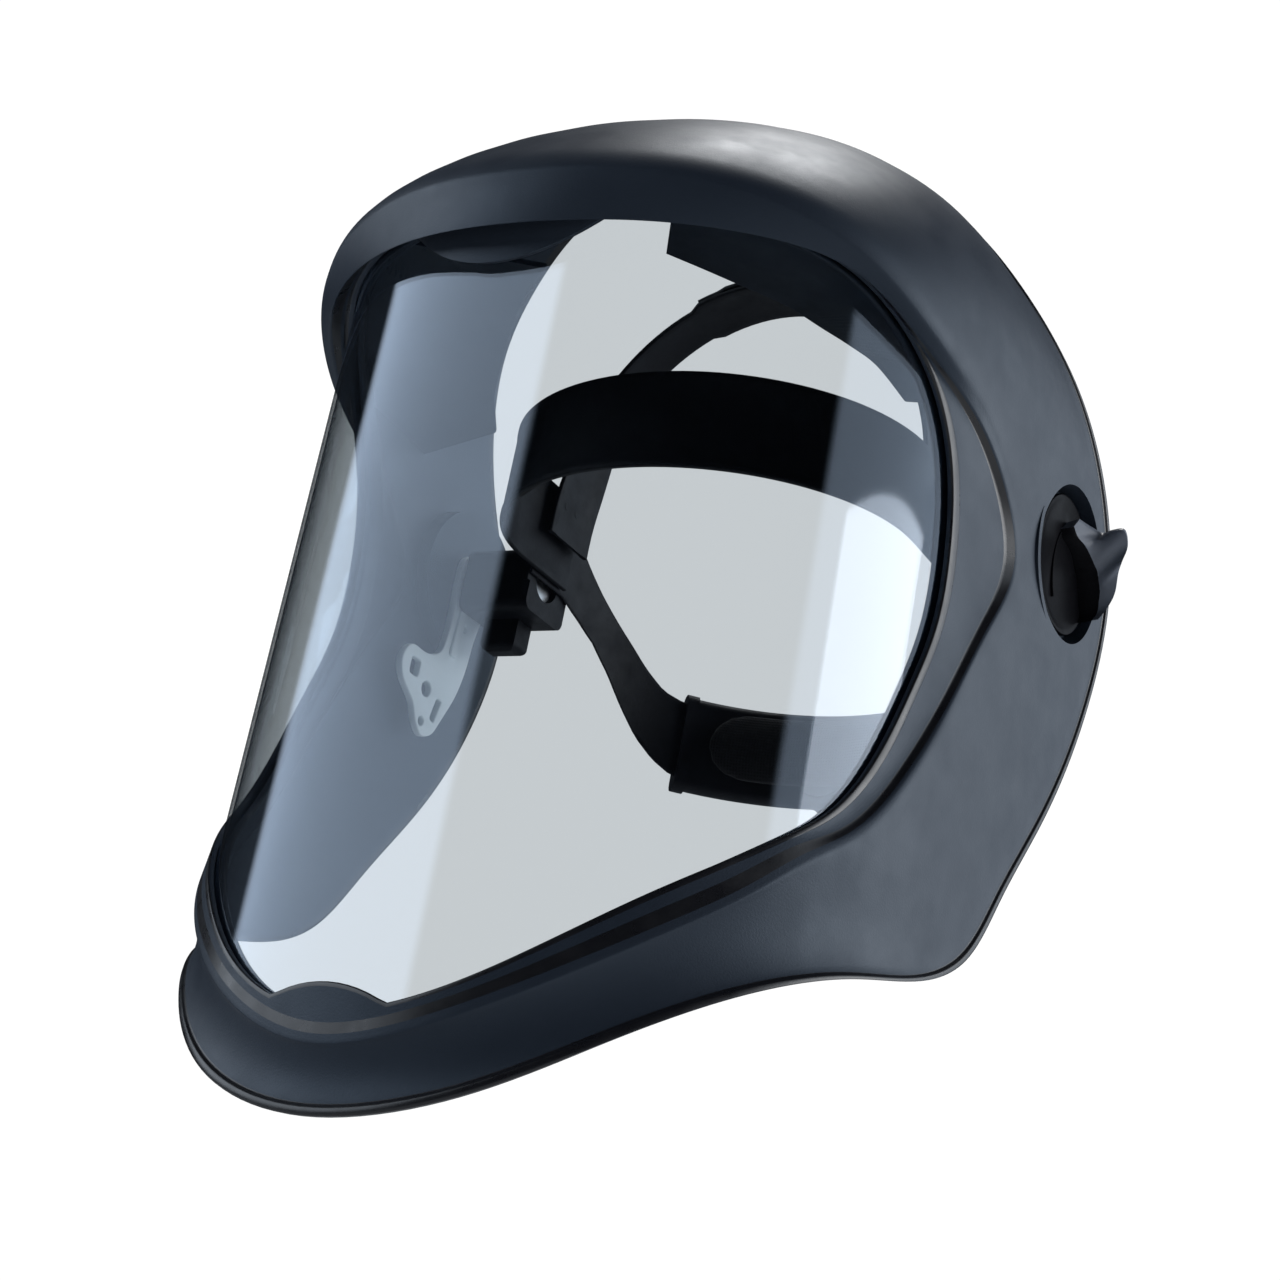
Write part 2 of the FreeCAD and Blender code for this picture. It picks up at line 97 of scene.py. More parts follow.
# Stations round the left half of the shell, from the top centre to the bottom centre:
# window edge (angle from straight ahead, height), ridge (x, y, z), free edge (x, y, z),
# depth of the lip under the ridge, share of the way from window to lip where the recessed
# facet ends, recess of that facet, bulge of the wall between ridge and free edge.
STATIONS = (
    ((0, 47), (0, -200, 51), (0, -66, 144), 20, 0.25, 0.0, 14.0),
    ((20, 47), (45, -190, 53), (34, -62, 141), 19, 0.25, 0.0, 14.0),
    ((38, 47), (81, -170, 51), (63, -56, 132), 15, 0.3, 0.0, 14.0),
    ((55, 43), (108, -141, 42), (90, -42, 118), 9, 0.5, 0.0, 12.0),
    ((67, 32), (119, -114, 31), (110, -28, 97), 6, 0.7, 0.8, 9.0),
    ((76, 17), (125, -82, 21), (126, -5, 70), 4.5, 0.85, 1.4, 5.0),
    ((82, -2), (127.5, -52, 5), (132.5, 18, 42), 3, 0.9, 2.0, 2.5),
    ((85, -28), (128.5, -38, -14), (132.5, 38, 8), 2.5, 0.9, 2.0, 1.5),
    ((84.5, -55), (128, -50, -44), (131, 34, -40), 2.5, 0.9, 2.0, 1.5),
    ((80, -82), (126, -66, -75), (129.5, 8, -92), 2.5, 0.9, 2.0, 1.5),
    ((74, -110), (124, -86, -108), (129, -20, -129), 2.5, 0.9, 2.0, 1.5),
    ((66, -133), (117.5, -106, -136), (128.5, -41, -155), 2.5, 0.8, 1.0, 1.0),
    ((60, -143), (110.5, -122, -149), (126, -62, -167), 2.0, 0.6, 0.0, 0.0),
    ((52, -155), (102, -136, -163), (118, -98, -177), 2.0, 0.6, 0.0, -1.5),
    ((42, -170), (88, -152, -179), (102, -131, -191.5), 2.0, 0.6, 0.0, -2.0),
    ((30, -189), (66, -169, -198), (80, -156, -211), 2.0, 0.6, 0.0, -2.0),
    ((16, -208), (36, -183, -217), (45, -178, -236), 2.0, 0.6, 0.0, -2.0),
    ((0, -217), (0, -188.5, -227), (0, -187, -247), 2.0, 0.6, 0.0, -2.0),
)
SHELL_CORE = np.array((0.0, -70.0, -60.0))

# Brow shelf on each side: outer point within the wall, and inner edge
SHELF_T = 2.0
SHELF = (
    ((51.4, -171, 51), (24, -128, 63.6)), ((63, -164.5, 51.5), (34, -121, 61)),
    ((77.3, -153.4, 51), (44.5, -111, 59)), ((94.6, -133.8, 48), (55.5, -98.5, 57.5)),
    ((103.9, -118.2, 41.5), (60, -93.5, 56)), ((120, -103, 40.5), (65, -87, 54)),
    ((125.5, -76, 41.5), (72, -78, 51.5)), ((128.6, -52, 42.5), (79, -68.5, 48)),
    ((129.6, -40, 42), (85, -55, 41)),
)

# Section points between which the shell is gloss black: the rim, and the rear bead with its inside;
# from the recessed facet to the lip the gloss black is painted shade of the step under the lip
BLACK_AND_SHADE_SPANS = ((0, 2), (3, 4), (16, 20))

# Headgear
BAND_X = 82.0
BAND_Y = -23.0
BAND_DEPTH = 70.0
BAND_T = 2.4
BAND_Z = (0.0, 37.0)
BAND_BACK = 8.0
NAPE_CENTRE_Y = 10.0
NAPE_X = 84.2
NAPE_REACH = 88.0
NAPE_T = 1.8
# Angle from straight back, upper and lower edge of the nape strap
NAPE_EDGES = (
    (0.0, -24.0, -55.0), (43.0, -22.0, -54.0), (49.0, -19.5, -49.5), (55.0, -13.0, -42.5),
    (61.0, -5.0, -32.5), (67.0, 2.0, -21.5), (74.0, 10.0, -12.0), (81.0, 18.5, -6.5),
    (87.0, 26.0, -3.0), (90.0, 29.0, -1.5),
)
CROWN_X = 79.6
CROWN_RISE = 98.0
CROWN_Z = 20.0
CROWN_Y = (-18.0, 2.0)
RATCHET_Z = -39.0

# Pads: inset of the middle from its strap, width, thickness; how they are filled
BROW_PAD = (5.3, 31.0, 6.4)
NAPE_PAD = (9.6, 30.0, 5.4)
PAD_VOXEL = 0.0016
PAD_TICKS = 14
PAD_SWELL = 0.0012

# Camera
VIEW_AZIMUTH = 32.1
VIEW_ELEVATION = -20.0
VIEW_ROLL = 10.9
VIEW_DISTANCE = 800.0
VIEW_CENTRE = (0.0, -59.6, -51.0)
VIEW_LENS = 64.1
FLOOR_Z = -0.75

# Soft panels of the studio: azimuth range, elevation range, strength, share of softness at the edges
WORLD_DIM = 0.015
WORLD_PANELS = (
    ((-88.0, -13.0), (5.0, 40.0), 2.6, 2.0),
    ((88.0, 165.0), (-5.0, 42.0), 1.6, 2.0),
)


# ---------------------------------------------------------------- materials


def material(name, colour, roughness, **inputs):
    """Principled material, with its node tree ready for more nodes."""
    made = bpy.data.materials.new(name)
    made.use_nodes = True
    shader = made.node_tree.nodes["Principled BSDF"]
    shader.inputs["Base Color"].default_value = (*colour, 1.0)
    shader.inputs["Roughness"].default_value = roughness
    for key, value in inputs.items():
        shader.inputs[key.replace("_", " ")].default_value = value
    return made, made.node_tree, shader


def noise(tree, scale, detail=4.0, rough=0.6):
    place = tree.nodes.new("ShaderNodeTexCoord")
    node = tree.nodes.new("ShaderNodeTexNoise")
    node.inputs["Scale"].default_value = scale
    node.inputs["Detail"].default_value = detail
    node.inputs["Roughness"].default_value = rough
    tree.links.new(place.outputs["Object"], node.inputs["Vector"])
    return node.outputs["Fac"]


def spread(tree, source, low, high, target):
    """Drives a value between low and high from a texture."""
    node = tree.nodes.new("ShaderNodeMapRange")
    node.inputs["From Min"].default_value = 0.3
    node.inputs["From Max"].default_value = 0.7
    node.inputs["To Min"].default_value = low
    node.inputs["To Max"].default_value = high
    tree.links.new(source, node.inputs["Value"])
    tree.links.new(node.outputs["Result"], target)


def tint(tree, source, dark, light, target):
    node = tree.nodes.new("ShaderNodeMix")
    node.data_type = "RGBA"
    node.inputs["A"].default_value = (*dark, 1.0)
    node.inputs["B"].default_value = (*light, 1.0)
    tree.links.new(source, node.inputs["Factor"])
    tree.links.new(node.outputs["Result"], target)


def bump(tree, source, shader, strength, distance):
    node = tree.nodes.new("ShaderNodeBump")
    node.inputs["Strength"].default_value = strength
    node.inputs["Distance"].default_value = distance
    tree.links.new(source, node.inputs["Height"])
    tree.links.new(node.outputs["Normal"], shader.inputs["Normal"])


def shell_material():
    """Matt moulded plastic with a fine spark-eroded grain."""
    made, tree, shader = material("shell_plastic", (0.05, 0.055, 0.065), 0.45)
    shader.inputs["Specular IOR Level"].default_value = 0.34
    shader.inputs["Specular Tint"].default_value = (0.70, 0.84, 1.0, 1.0)
    tint(tree, noise(tree, 14.0), (0.016, 0.021, 0.031), (0.023, 0.030, 0.043),
         shader.inputs["Base Color"])
    spread(tree, noise(tree, 60.0), 0.40, 0.50, shader.inputs["Roughness"])
    bump(tree, noise(tree, 1500.0, 2.0), shader, 0.25, 0.0002)
    return made


def gloss_material(name, colour, rough, shine=0.5):
    """Smooth moulded plastic with faint flow marks."""
    made, tree, shader = material(name, colour, rough)
    shader.inputs["Specular IOR Level"].default_value = shine
    light = tuple(value * 1.35 + 0.002 for value in colour)
    tint(tree, noise(tree, 30.0), colour, light, shader.inputs["Base Color"])
    spread(tree, noise(tree, 90.0), rough * 0.8, rough * 1.25, shader.inputs["Roughness"])
    bump(tree, noise(tree, 420.0, 2.0), shader, 0.08, 0.0002)
    return made


def strap_material():
    """Flexible plastic strap, slightly mottled."""
    made, tree, shader = material("strap_plastic", (0.006, 0.006, 0.008), 0.5)
    shader.inputs["Specular IOR Level"].default_value = 0.2
    tint(tree, noise(tree, 55.0, 6.0), (0.003, 0.003, 0.005), (0.010, 0.011, 0.016),
         shader.inputs["Base Color"])
    spread(tree, noise(tree, 120.0), 0.42, 0.6, shader.inputs["Roughness"])
    bump(tree, noise(tree, 900.0, 3.0), shader, 0.3, 0.0003)
    return made


def nylon_material():
    """Natural nylon: milky, letting some light through."""
    made, tree, shader = material("natural_nylon", (0.70, 0.75, 0.74), 0.42)
    shader.inputs["Subsurface Weight"].default_value = 0.35
    shader.inputs["Subsurface Radius"].default_value = (0.004, 0.004, 0.004)
    tint(tree, noise(tree, 40.0), (0.60, 0.66, 0.66), (0.76, 0.80, 0.79),
         shader.inputs["Base Color"])
    bump(tree, noise(tree, 500.0), shader, 0.1, 0.0002)
    return made


def fabric_material():
    """Fine brushed knit over foam: crossed threads with a soft sheen."""
    made, tree, shader = material("pad_knit", (0.02, 0.02, 0.022), 0.9)
    shader.inputs["Sheen Weight"].default_value = 0.1
    shader.inputs["Specular IOR Level"].default_value = 0.2
    place = tree.nodes.new("ShaderNodeTexCoord")
    threads = []
    for direction in ("X", "Z"):
        wave = tree.nodes.new("ShaderNodeTexWave")
        wave.bands_direction = direction
        wave.inputs["Scale"].default_value = 260.0
        wave.inputs["Distortion"].default_value = 1.5
        tree.links.new(place.outputs["Object"], wave.inputs["Vector"])
        threads.append(wave.outputs["Fac"])
    crossed = tree.nodes.new("ShaderNodeMath")
    crossed.operation = "MAXIMUM"
    tree.links.new(threads[0], crossed.inputs[0])
    tree.links.new(threads[1], crossed.inputs[1])
    tint(tree, crossed.outputs[0], (0.004, 0.004, 0.005), (0.013, 0.013, 0.015),
         shader.inputs["Base Color"])
    bump(tree, crossed.outputs[0], shader, 0.6, 0.0004)
    return made


def steel_material():
    made, tree, shader = material("zinc_steel", (0.6, 0.6, 0.61), 0.3, Metallic=1.0)
    spread(tree, noise(tree, 200.0), 0.25, 0.42, shader.inputs["Roughness"])
    bump(tree, noise(tree, 800.0), shader, 0.1, 0.0001)
    return made


def pane_material():
    """Clear sheet: light passes straight through, with a surface reflection that grows edge-on."""
    made = bpy.data.materials.new("clear_pane")
    made.use_nodes = True
    tree = made.node_tree
    shader = tree.nodes["Principled BSDF"]
    shader.inputs["Base Color"].default_value = (0.80, 0.86, 0.92, 1.0)
    shader.inputs["Roughness"].default_value = 0.03
    spread(tree, noise(tree, 25.0), 0.02, 0.05, shader.inputs["Roughness"])
    clear = tree.nodes.new("ShaderNodeBsdfTransparent")
    clear.inputs["Color"].default_value = (0.76, 0.785, 0.80, 1.0)
    gloss = tree.nodes.new("ShaderNodeBsdfGlossy")
    gloss.inputs["Color"].default_value = (0.78, 0.87, 1.0, 1.0)
    gloss.inputs["Roughness"].default_value = 0.04
    side = tree.nodes.new("ShaderNodeNewGeometry")
    index = tree.nodes.new("ShaderNodeMapRange")
    index.inputs["To Min"].default_value = 1.5
    index.inputs["To Max"].default_value = 1.0 / 1.5
    tree.links.new(side.outputs["Backfacing"], index.inputs["Value"])
    edge = tree.nodes.new("ShaderNodeFresnel")
    tree.links.new(index.outputs["Result"], edge.inputs["IOR"])
    mixed = tree.nodes.new("ShaderNodeMixShader")
    tree.links.new(edge.outputs["Fac"], mixed.inputs["Fac"])
    tree.links.new(clear.outputs["BSDF"], mixed.inputs[1])
    tree.links.new(gloss.outputs["BSDF"], mixed.inputs[2])
    tree.links.new(mixed.outputs["Shader"], tree.nodes["Material Output"].inputs["Surface"])
    return made


# ---------------------------------------------------------------- mesh helpers


def side_name(side):
    return "left" if side > 0 else "right"


def finish_piece(name, verts, faces, materials, body, replaced=(), indices=None):
    """Mesh object from millimetre points, riding on a body and standing for CAD nodes."""
    mesh = bpy.data.meshes.new(name)
    mesh.from_pydata([tuple(float(c) * MM for c in v) for v in verts], [], faces)
    for made in materials:
        mesh.materials.append(made)
    if indices is not None:
        for polygon, index in zip(mesh.polygons, indices):
            polygon.material_index = index
    face_outward(mesh)
    mesh.shade_smooth()
    piece = bpy.data.objects.new(name, mesh)
    bpy.context.scene.collection.objects.link(piece)
    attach(piece, body)
    if replaced:
        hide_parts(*replaced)
    return piece


def weld(mesh):
    """Joins doubled points of a mesh and turns its faces outward."""
    work = bmesh.new()
    work.from_mesh(mesh)
    bmesh.ops.remove_doubles(work, verts=work.verts, dist=WELD)
    bmesh.ops.recalc_face_normals(work, faces=work.faces)
    work.to_mesh(mesh)
    work.free()


def face_outward(mesh):
    """Turns the faces of a mesh outward."""
    work = bmesh.new()
    work.from_mesh(mesh)
    bmesh.ops.recalc_face_normals(work, faces=work.faces)
    work.to_mesh(mesh)
    work.free()


def apply_modifiers(piece):
    """Bakes the modifiers of a piece into its mesh."""
    view = bpy.context.evaluated_depsgraph_get()
    mesh = bpy.data.meshes.new_from_object(piece.evaluated_get(view))
    piece.modifiers.clear()
    piece.data = mesh


def sharp_by_angle(piece, degrees):
    """Smooth shading that breaks at edges sharper than the angle."""
    piece.data.set_sharp_from_angle(angle=math.radians(degrees))


def tube_faces(rings, size, closed):
    """Quads between rings of equal size, with end caps unless the rings close on themselves."""
    faces = []
    spans = rings if closed else rings - 1
    for ring in range(spans):
        after = (ring + 1) % rings
        for k in range(size):
            step = (k + 1) % size
            faces.append((ring * size + k, ring * size + step, after * size + step, after * size + k))
    if not closed:
        faces.append(tuple(range(size)))
        faces.append(tuple((rings - 1) * size + k for k in range(size - 1, -1, -1)))
    return faces


def rounded_section(width, thick, bead=0.0):
    """Rounded rectangle (along width, along thickness); a bead thickens its two long edges."""
    corner = thick * 0.45
    half = width / 2
    places = []
    bead_w = min(2.6, half * 0.3)
    for sign_u, sign_v in ((1, 1), (-1, 1), (-1, -1), (1, -1)):
        start = {(1, 1): 0, (-1, 1): 90, (-1, -1): 180, (1, -1): 270}[(sign_u, sign_v)]
        arc = []
        for step in range(5):
            turn = math.radians(start + 22.5 * step)
            u = sign_u * (half - corner) + corner * math.cos(turn)
            v = sign_v * (thick / 2 + bead - corner) + corner * math.sin(turn)
            arc.append((u, v))
        if bead > 0:
            inner = [(sign_u * (half - bead_w), sign_v * (thick / 2 + bead)),
                     (sign_u * (half - bead_w - 0.9), sign_v * thick / 2)]
            arc = arc + inner if sign_u * sign_v > 0 else inner[::-1] + arc
        places += arc
    return places


def strap(name, path, across, width, thick, body, made, replaced=(), bead=0.0, taper=None):
    """Strap swept along a path; across gives the direction of its width at each point."""
    path = np.array(path, float)
    rings = len(path)
    section = rounded_section(width, thick, bead)
    verts = []
    for index, place in enumerate(path):
        ahead = path[min(index + 1, rings - 1)] - path[max(index - 1, 0)]
        ahead /= np.linalg.norm(ahead)
        side = np.array(across(index / (rings - 1)), float)
        side -= ahead * side.dot(ahead)
        side /= np.linalg.norm(side)
        out = np.cross(ahead, side)
        size = taper(index / (rings - 1)) if taper else 1.0
        for u, v in section:
            verts.append(place + side * u * size + out * v)
    faces = tube_faces(rings, len(section), False)
    piece = finish_piece(name, verts, faces, [made], body, replaced)
    sharp_by_angle(piece, 50)
    return piece


def turned(name, profile, centre, axis, body, made, replaced=(), steps=96, wave=None):
    """Solid of revolution; profile is (distance along the axis, radius), wave shapes the radius."""
    axis = np.array(axis, float)
    first = np.cross(axis, (0.0, 0.3, 1.0) if abs(axis[2]) < 0.9 else (0.0, 1.0, 0.0))
    first /= np.linalg.norm(first)
    second = np.cross(axis, first)
    verts = []
    for step in range(steps):
        turn = 2 * math.pi * step / steps
        for along, radius in profile:
            size = radius * (wave(turn, radius) if wave else 1.0)
            verts.append(np.array(centre) + axis * along
                         + (first * math.cos(turn) + second * math.sin(turn)) * size)
    faces = []
    count = len(profile)
    for step in range(steps):
        after = (step + 1) % steps
        for k in range(count):
            nxt = (k + 1) % count
            if profile[k][1] < 1e-6 and profile[nxt][1] < 1e-6:
                continue
            faces.append((step * count + k, step * count + nxt, after * count + nxt, after * count + k))
    piece = finish_piece(name, verts, faces, [made], body, replaced)
    weld(piece.data)
    sharp_by_angle(piece, 40)
    return piece


def plate(name, outline, holes, thick, place, body, made, replaced=(), round_edge=0.5):
    """Flat moulding from an outline and holes, with rounded edges; place maps it to the frame."""
    curve = bpy.data.curves.new(name + "_outline", "CURVE")
    curve.dimensions = "2D"
    curve.fill_mode = "BOTH"
    curve.extrude = (thick / 2 - round_edge) * MM
    curve.bevel_depth = round_edge * MM
    curve.bevel_resolution = 2
    curve.offset = -round_edge * MM
    for loop in [outline] + list(holes):
        spline = curve.splines.new("POLY")
        spline.points.add(len(loop) - 1)
        for point, (u, v) in zip(spline.points, loop):
            point.co = (u * MM, v * MM, 0.0, 1.0)
        spline.use_cyclic_u = True
    holder = bpy.data.objects.new(name + "_outline", curve)
    bpy.context.scene.collection.objects.link(holder)
    view = bpy.context.evaluated_depsgraph_get()
    mesh = bpy.data.meshes.new_from_object(holder.evaluated_get(view))
    bpy.data.objects.remove(holder)
    mesh.transform(place)
    mesh.materials.clear()
    mesh.materials.append(made)
    weld(mesh)
    mesh.shade_smooth()
    piece = bpy.data.objects.new(name, mesh)
    bpy.context.scene.collection.objects.link(piece)
    sharp_by_angle(piece, 35)
    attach(piece, body)
    if replaced:
        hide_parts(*replaced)
    return piece


def round_loop(places, corner, steps=5):
    """Closed outline with each corner turned into a short arc."""
    result = []
    count = len(places)
    for index, place in enumerate(places):
        here = np.array(place, float)
        back = np.array(places[index - 1], float) - here
        ahead = np.array(places[(index + 1) % count], float) - here
        reach = min(corner, np.linalg.norm(back) * 0.45, np.linalg.norm(ahead) * 0.45)
        a = here + back / np.linalg.norm(back) * reach
        b = here + ahead / np.linalg.norm(ahead) * reach
        for step in range(steps):
            t = step / (steps - 1)
            result.append(tuple(a * (1 - t) ** 2 + here * 2 * t * (1 - t) + b * t ** 2))
    return result


def ring_loop(centre, radius, steps=24):
    return [(centre[0] + radius * math.cos(2 * math.pi * k / steps),
             centre[1] + radius * math.sin(2 * math.pi * k / steps)) for k in range(steps)]


# ---------------------------------------------------------------- shell


def on_pane(radius, angle, z):
    turn = math.radians(angle)
    return np.array((radius * math.sin(turn), PANE_Y - radius * math.cos(turn), z))


def away_from_window(index, distance):
    """The window edge of a station, moved away from the opening along the pane."""
    low = STATIONS[max(index - 1, 0)][0]
    high = STATIONS[min(index + 1, len(STATIONS) - 1)][0]
    along = math.radians(high[0] - low[0]) * PANE_R
    down = high[1] - low[1]
    if index in (0, len(STATIONS) - 1):
        down = 0.0
    length = math.hypot(along, down)
    angle, z = STATIONS[index][0]
    return angle - math.degrees(distance * down / length / PANE_R), z + distance * along / length


def shell_section(index):
    """Points round the wall at one station, as (place, corner reach) pairs."""
    window, ridge, edge, drop, share, recess, bulge = STATIONS[index]
    ridge = np.array(ridge, float)
    edge = np.array(edge, float)
    last = len(STATIONS) - 1
    along = np.array(STATIONS[min(index + 1, last)][1], float) - STATIONS[max(index - 1, 0)][1]
    if index in (0, last):
        along = np.array((1.0, 0.0, 0.0))
    normal = np.cross(along, edge - ridge)
    normal /= np.linalg.norm(normal)
    if normal.dot((ridge + edge) / 2 - SHELL_CORE) < 0:
        normal = -normal
    rim = on_pane(RIM_R, *window)
    side = min(index / 6.0, 1.0)
    toward_window = (rim - ridge) / np.linalg.norm(rim - ridge)
    lip = ridge + (np.array((0, 0, -1.0)) * (1 - side) + toward_window * side) * drop
    inset = rim + (lip - rim) * share - np.array((recess, 0, 0))
    rim_back = rim + (inset - rim) * min(RIM_W / np.linalg.norm(inset - rim), 0.3)
    rim_step = rim_back + (inset - rim_back) * 0.06 - np.array((0.6 * (recess > 0), 0, 0))
    points = [(rim, 0.7), (rim_back, 0.5), (rim_step, 0.4), (inset, 0.9), (lip, 0.8), (ridge, 1.0)]
    under = [(ridge - normal * WALL, 1.0)]
    wall = np.linalg.norm(edge - ridge)
    flat = 1 - BEAD_W / wall
    for step in CROWN_STEPS:
        rise = bulge * math.sin(math.pi * step) ** 0.6
        place = ridge + (edge - ridge) * step * flat + normal * rise
        points.append((place, 0.0))
        under.append((place - normal * WALL, 0.0))
    fall = bulge * math.sin(math.pi * 0.96) ** 0.6
    foot = ridge + (edge - ridge) * flat + normal * fall * 0.6
    points += [(foot, 0.5), (foot + (edge - foot) * 0.2 + normal * BEAD_H, 0.6),
               (edge + normal * BEAD_H, 0.9)]
    under += [(foot - normal * WALL, 0.0), (edge - normal * (WALL - 0.4), 0.9)]
    flange = [
        (on_pane(FLANGE_R, *away_from_window(index, FLANGE_W)), 1.2),
        (on_pane(FLANGE_R, *window), 0.7),
        (on_pane(FLANGE_OUT_R, *window), 0.5),
        (on_pane(FLANGE_OUT_R, *away_from_window(index, GROOVE_DEPTH)), 0.0),
        (on_pane(RIM_LIP_R, *away_from_window(index, GROOVE_DEPTH)), 0.0),
        (on_pane(RIM_LIP_R, *window), 0.5),
    ]
    return points + under[::-1] + flange


def periodic_spline(points, steps):
    """Closed C2 cubic through the points, sampled evenly between each pair."""
    points = np.array(points, float)
    count = len(points)
    gap = np.maximum(np.linalg.norm(np.roll(points, -1, 0) - points, axis=1), 1.0)
    system = np.zeros((count, count))
    right = np.zeros((count, 3))
    for i in range(count):
        h0 = gap[i - 1]
        h1 = gap[i]
        system[i, i - 1] += h0
        system[i, i] += 2 * (h0 + h1)
        system[i, (i + 1) % count] += h1
        right[i] = 6 * ((points[(i + 1) % count] - points[i]) / h1 - (points[i] - points[i - 1]) / h0)
    bend = np.linalg.solve(system, right)
    result = []
    for i in range(count):
        j = (i + 1) % count
        h = gap[i]
        for step in range(steps):
            b = step / steps
            a = 1 - b
            result.append(a * points[i] + b * points[j]
                          + ((a ** 3 - a) * bend[i] + (b ** 3 - b) * bend[j]) * h * h / 6)
    return result


def round_ring(places, reaches):
    """One closed section with its corners rounded, always with the same number of points."""
    result = []
    count = len(places)
    for k in range(count):
        if reaches[k] == 0:
            result.append(places[k])
            continue
        back = places[k - 1] - places[k]
        ahead = places[(k + 1) % count] - places[k]
        back_length = max(np.linalg.norm(back), 1e-6)
        ahead_length = max(np.linalg.norm(ahead), 1e-6)
        reach = min(reaches[k], back_length * 0.4, ahead_length * 0.4)
        a = places[k] + back / back_length * reach
        b = places[k] + ahead / ahead_length * reach
        result += [a, (a + 2 * places[k] + b) / 4, b]
    return result


def ring_starts(reaches):
    """Where each section point starts in the rounded ring."""
    starts = [0]
    for reach in reaches:
        starts.append(starts[-1] + (3 if reach else 1))
    return starts


def tab_shift(place):
    """How far the window edge reaches over the pane at the holding tabs, top and bottom centre."""
    if place[1] > PANE_Y:
        return 0.0
    if place[2] > 0 and abs(place[0]) < TOP_TAB[0]:
        return -TOP_TAB[1] * (1 - (place[0] / TOP_TAB[0]) ** 2)
    if place[2] < -150 and abs(place[0]) < CHIN_TAB[0]:
        return CHIN_TAB[1] * (1 - (place[0] / CHIN_TAB[0]) ** 2)
    return 0.0


def build_shell(plastic, gloss_black_and_lip_shade):
    """The moulding: every section point runs round the shell as one smooth line."""
    sections = [shell_section(index) for index in range(len(STATIONS))]
    reaches = [reach for _, reach in sections[0]]
    rows = [[place for place, _ in section] for section in sections]
    for row in rows[-2:0:-1]:
        rows.append([place * np.array((-1, 1, 1)) for place in row])
    lines = [periodic_spline([row[k] for row in rows], RING_STEPS) for k in range(len(reaches))]
    size = 0
    verts = []
    rings = len(lines[0])
    tabbed = (0, 1, 2, len(reaches) - 1)
    for ring in range(rings):
        places = [line[ring].copy() for line in lines]
        for k in tabbed:
            places[k][2] += tab_shift(lines[0][ring])
        rounded = round_ring(places, reaches)
        size = len(rounded)
        verts += rounded
    faces = tube_faces(rings, size, True)
    # Faces in these spans take the gloss black; on the step under the lip it is painted shade
    black = [False] * size
    starts = ring_starts(reaches)
    for first, last in BLACK_AND_SHADE_SPANS:
        for k in range(starts[first], starts[last]):
            black[k] = True
    indices = [1 if black[face[0] % size] else 0 for face in faces]
    shell = finish_piece("shell_moulding", verts, faces, [plastic, gloss_black_and_lip_shade], "shield",
                         ("shell",), indices)
    cut_dishes(shell)
    sharp_by_angle(shell, 60)


def catmull(points, t):
    """Point at a share of the way along a smooth open line."""
    count = len(points)
    place = min(max(t, 0.0), 1.0) * (count - 1)
    k = min(int(place), count - 2)
    t = place - k
    p0, p1, p2, p3 = (np.array(points[min(max(k + j, 0), count - 1)], float) for j in (-1, 0, 1, 2))
    return 0.5 * (2 * p1 + (p2 - p0) * t + (2 * p0 - 5 * p1 + 4 * p2 - p3) * t ** 2
                  + (3 * p1 - p0 - 3 * p2 + p3) * t ** 3)


def build_brow_shelf(side, plastic):
    """Thin shelf from the brow's wall to the edge that follows the forehead."""
    label = side_name(side)
    rows = 41
    verts = []
    for index in range(rows):
        t = index / (rows - 1)
        outer = catmull([ends[0] for ends in SHELF], t)
        inner = catmull([ends[1] for ends in SHELF], t)
        ahead = (inner - outer) / np.linalg.norm(inner - outer)
        down = np.array((0, 0, -SHELF_T))
        ring = [outer, inner - ahead * 0.7, inner + down * 0.2, inner + down * 0.8,
                inner - ahead * 0.7 + down, outer + down]
        verts += [place * np.array((side, 1, 1)) for place in ring]
    faces = tube_faces(rows, 6, False)
    shelf = finish_piece("brow_shelf_" + label, verts, faces, [plastic], "shield")
    sharp_by_angle(shelf, 50)


def dish_cutter(side, profile):
    """Closed turned tool on the tilt axis for shaping the pivot dish."""
    verts = []
    faces = []
    steps = 96
    count = len(profile)
    for step in range(steps):
        turn = 2 * math.pi * step / steps
        for x, radius in profile:
            verts.append((side * x * MM, radius * math.cos(turn) * MM, radius * math.sin(turn) * MM))
    for step in range(steps):
        after = (step + 1) % steps
        for k in range(count - 1):
            faces.append((step * count + k, step * count + k + 1, after * count + k + 1,
                          after * count + k))
    faces.append(tuple(step * count for step in range(steps)))
    faces.append(tuple(step * count + count - 1 for step in range(steps - 1, -1, -1)))
    mesh = bpy.data.meshes.new("dish_tool")
    mesh.from_pydata(verts, [], faces)
    face_outward(mesh)
    tool = bpy.data.objects.new("dish_tool", mesh)
    bpy.context.scene.collection.objects.link(tool)
    return tool


def cut_dishes(shell):
    """Pivot dish each side: a floor behind the wall, a round well, a bore."""
    tools = []
    for side in (1, -1):
        cup = [(DISH_BACK, DISH_R + DISH_WALL), (DISH_BRINK, DISH_R + DISH_WALL)]
        brink = [(DISH_FLOOR, DISH_R), (FAR_OUT, DISH_R)]
        bore = [(110.0, BORE_R), (FAR_OUT, BORE_R)]
        for profile, action in ((cup, "UNION"), (brink, "DIFFERENCE"), (bore, "DIFFERENCE")):
            tool = dish_cutter(side, profile)
            tools.append(tool)
            change = shell.modifiers.new("dish", "BOOLEAN")
            change.operation = action
            change.solver = "EXACT"
            change.object = tool
    apply_modifiers(shell)
    for tool in tools:
        bpy.data.objects.remove(tool)


# ---------------------------------------------------------------- pane


def outline_height(outline, angle):
    angles = [a for a, _ in outline]
    heights = [z for _, z in outline]
    return float(np.interp(angle, angles, heights))


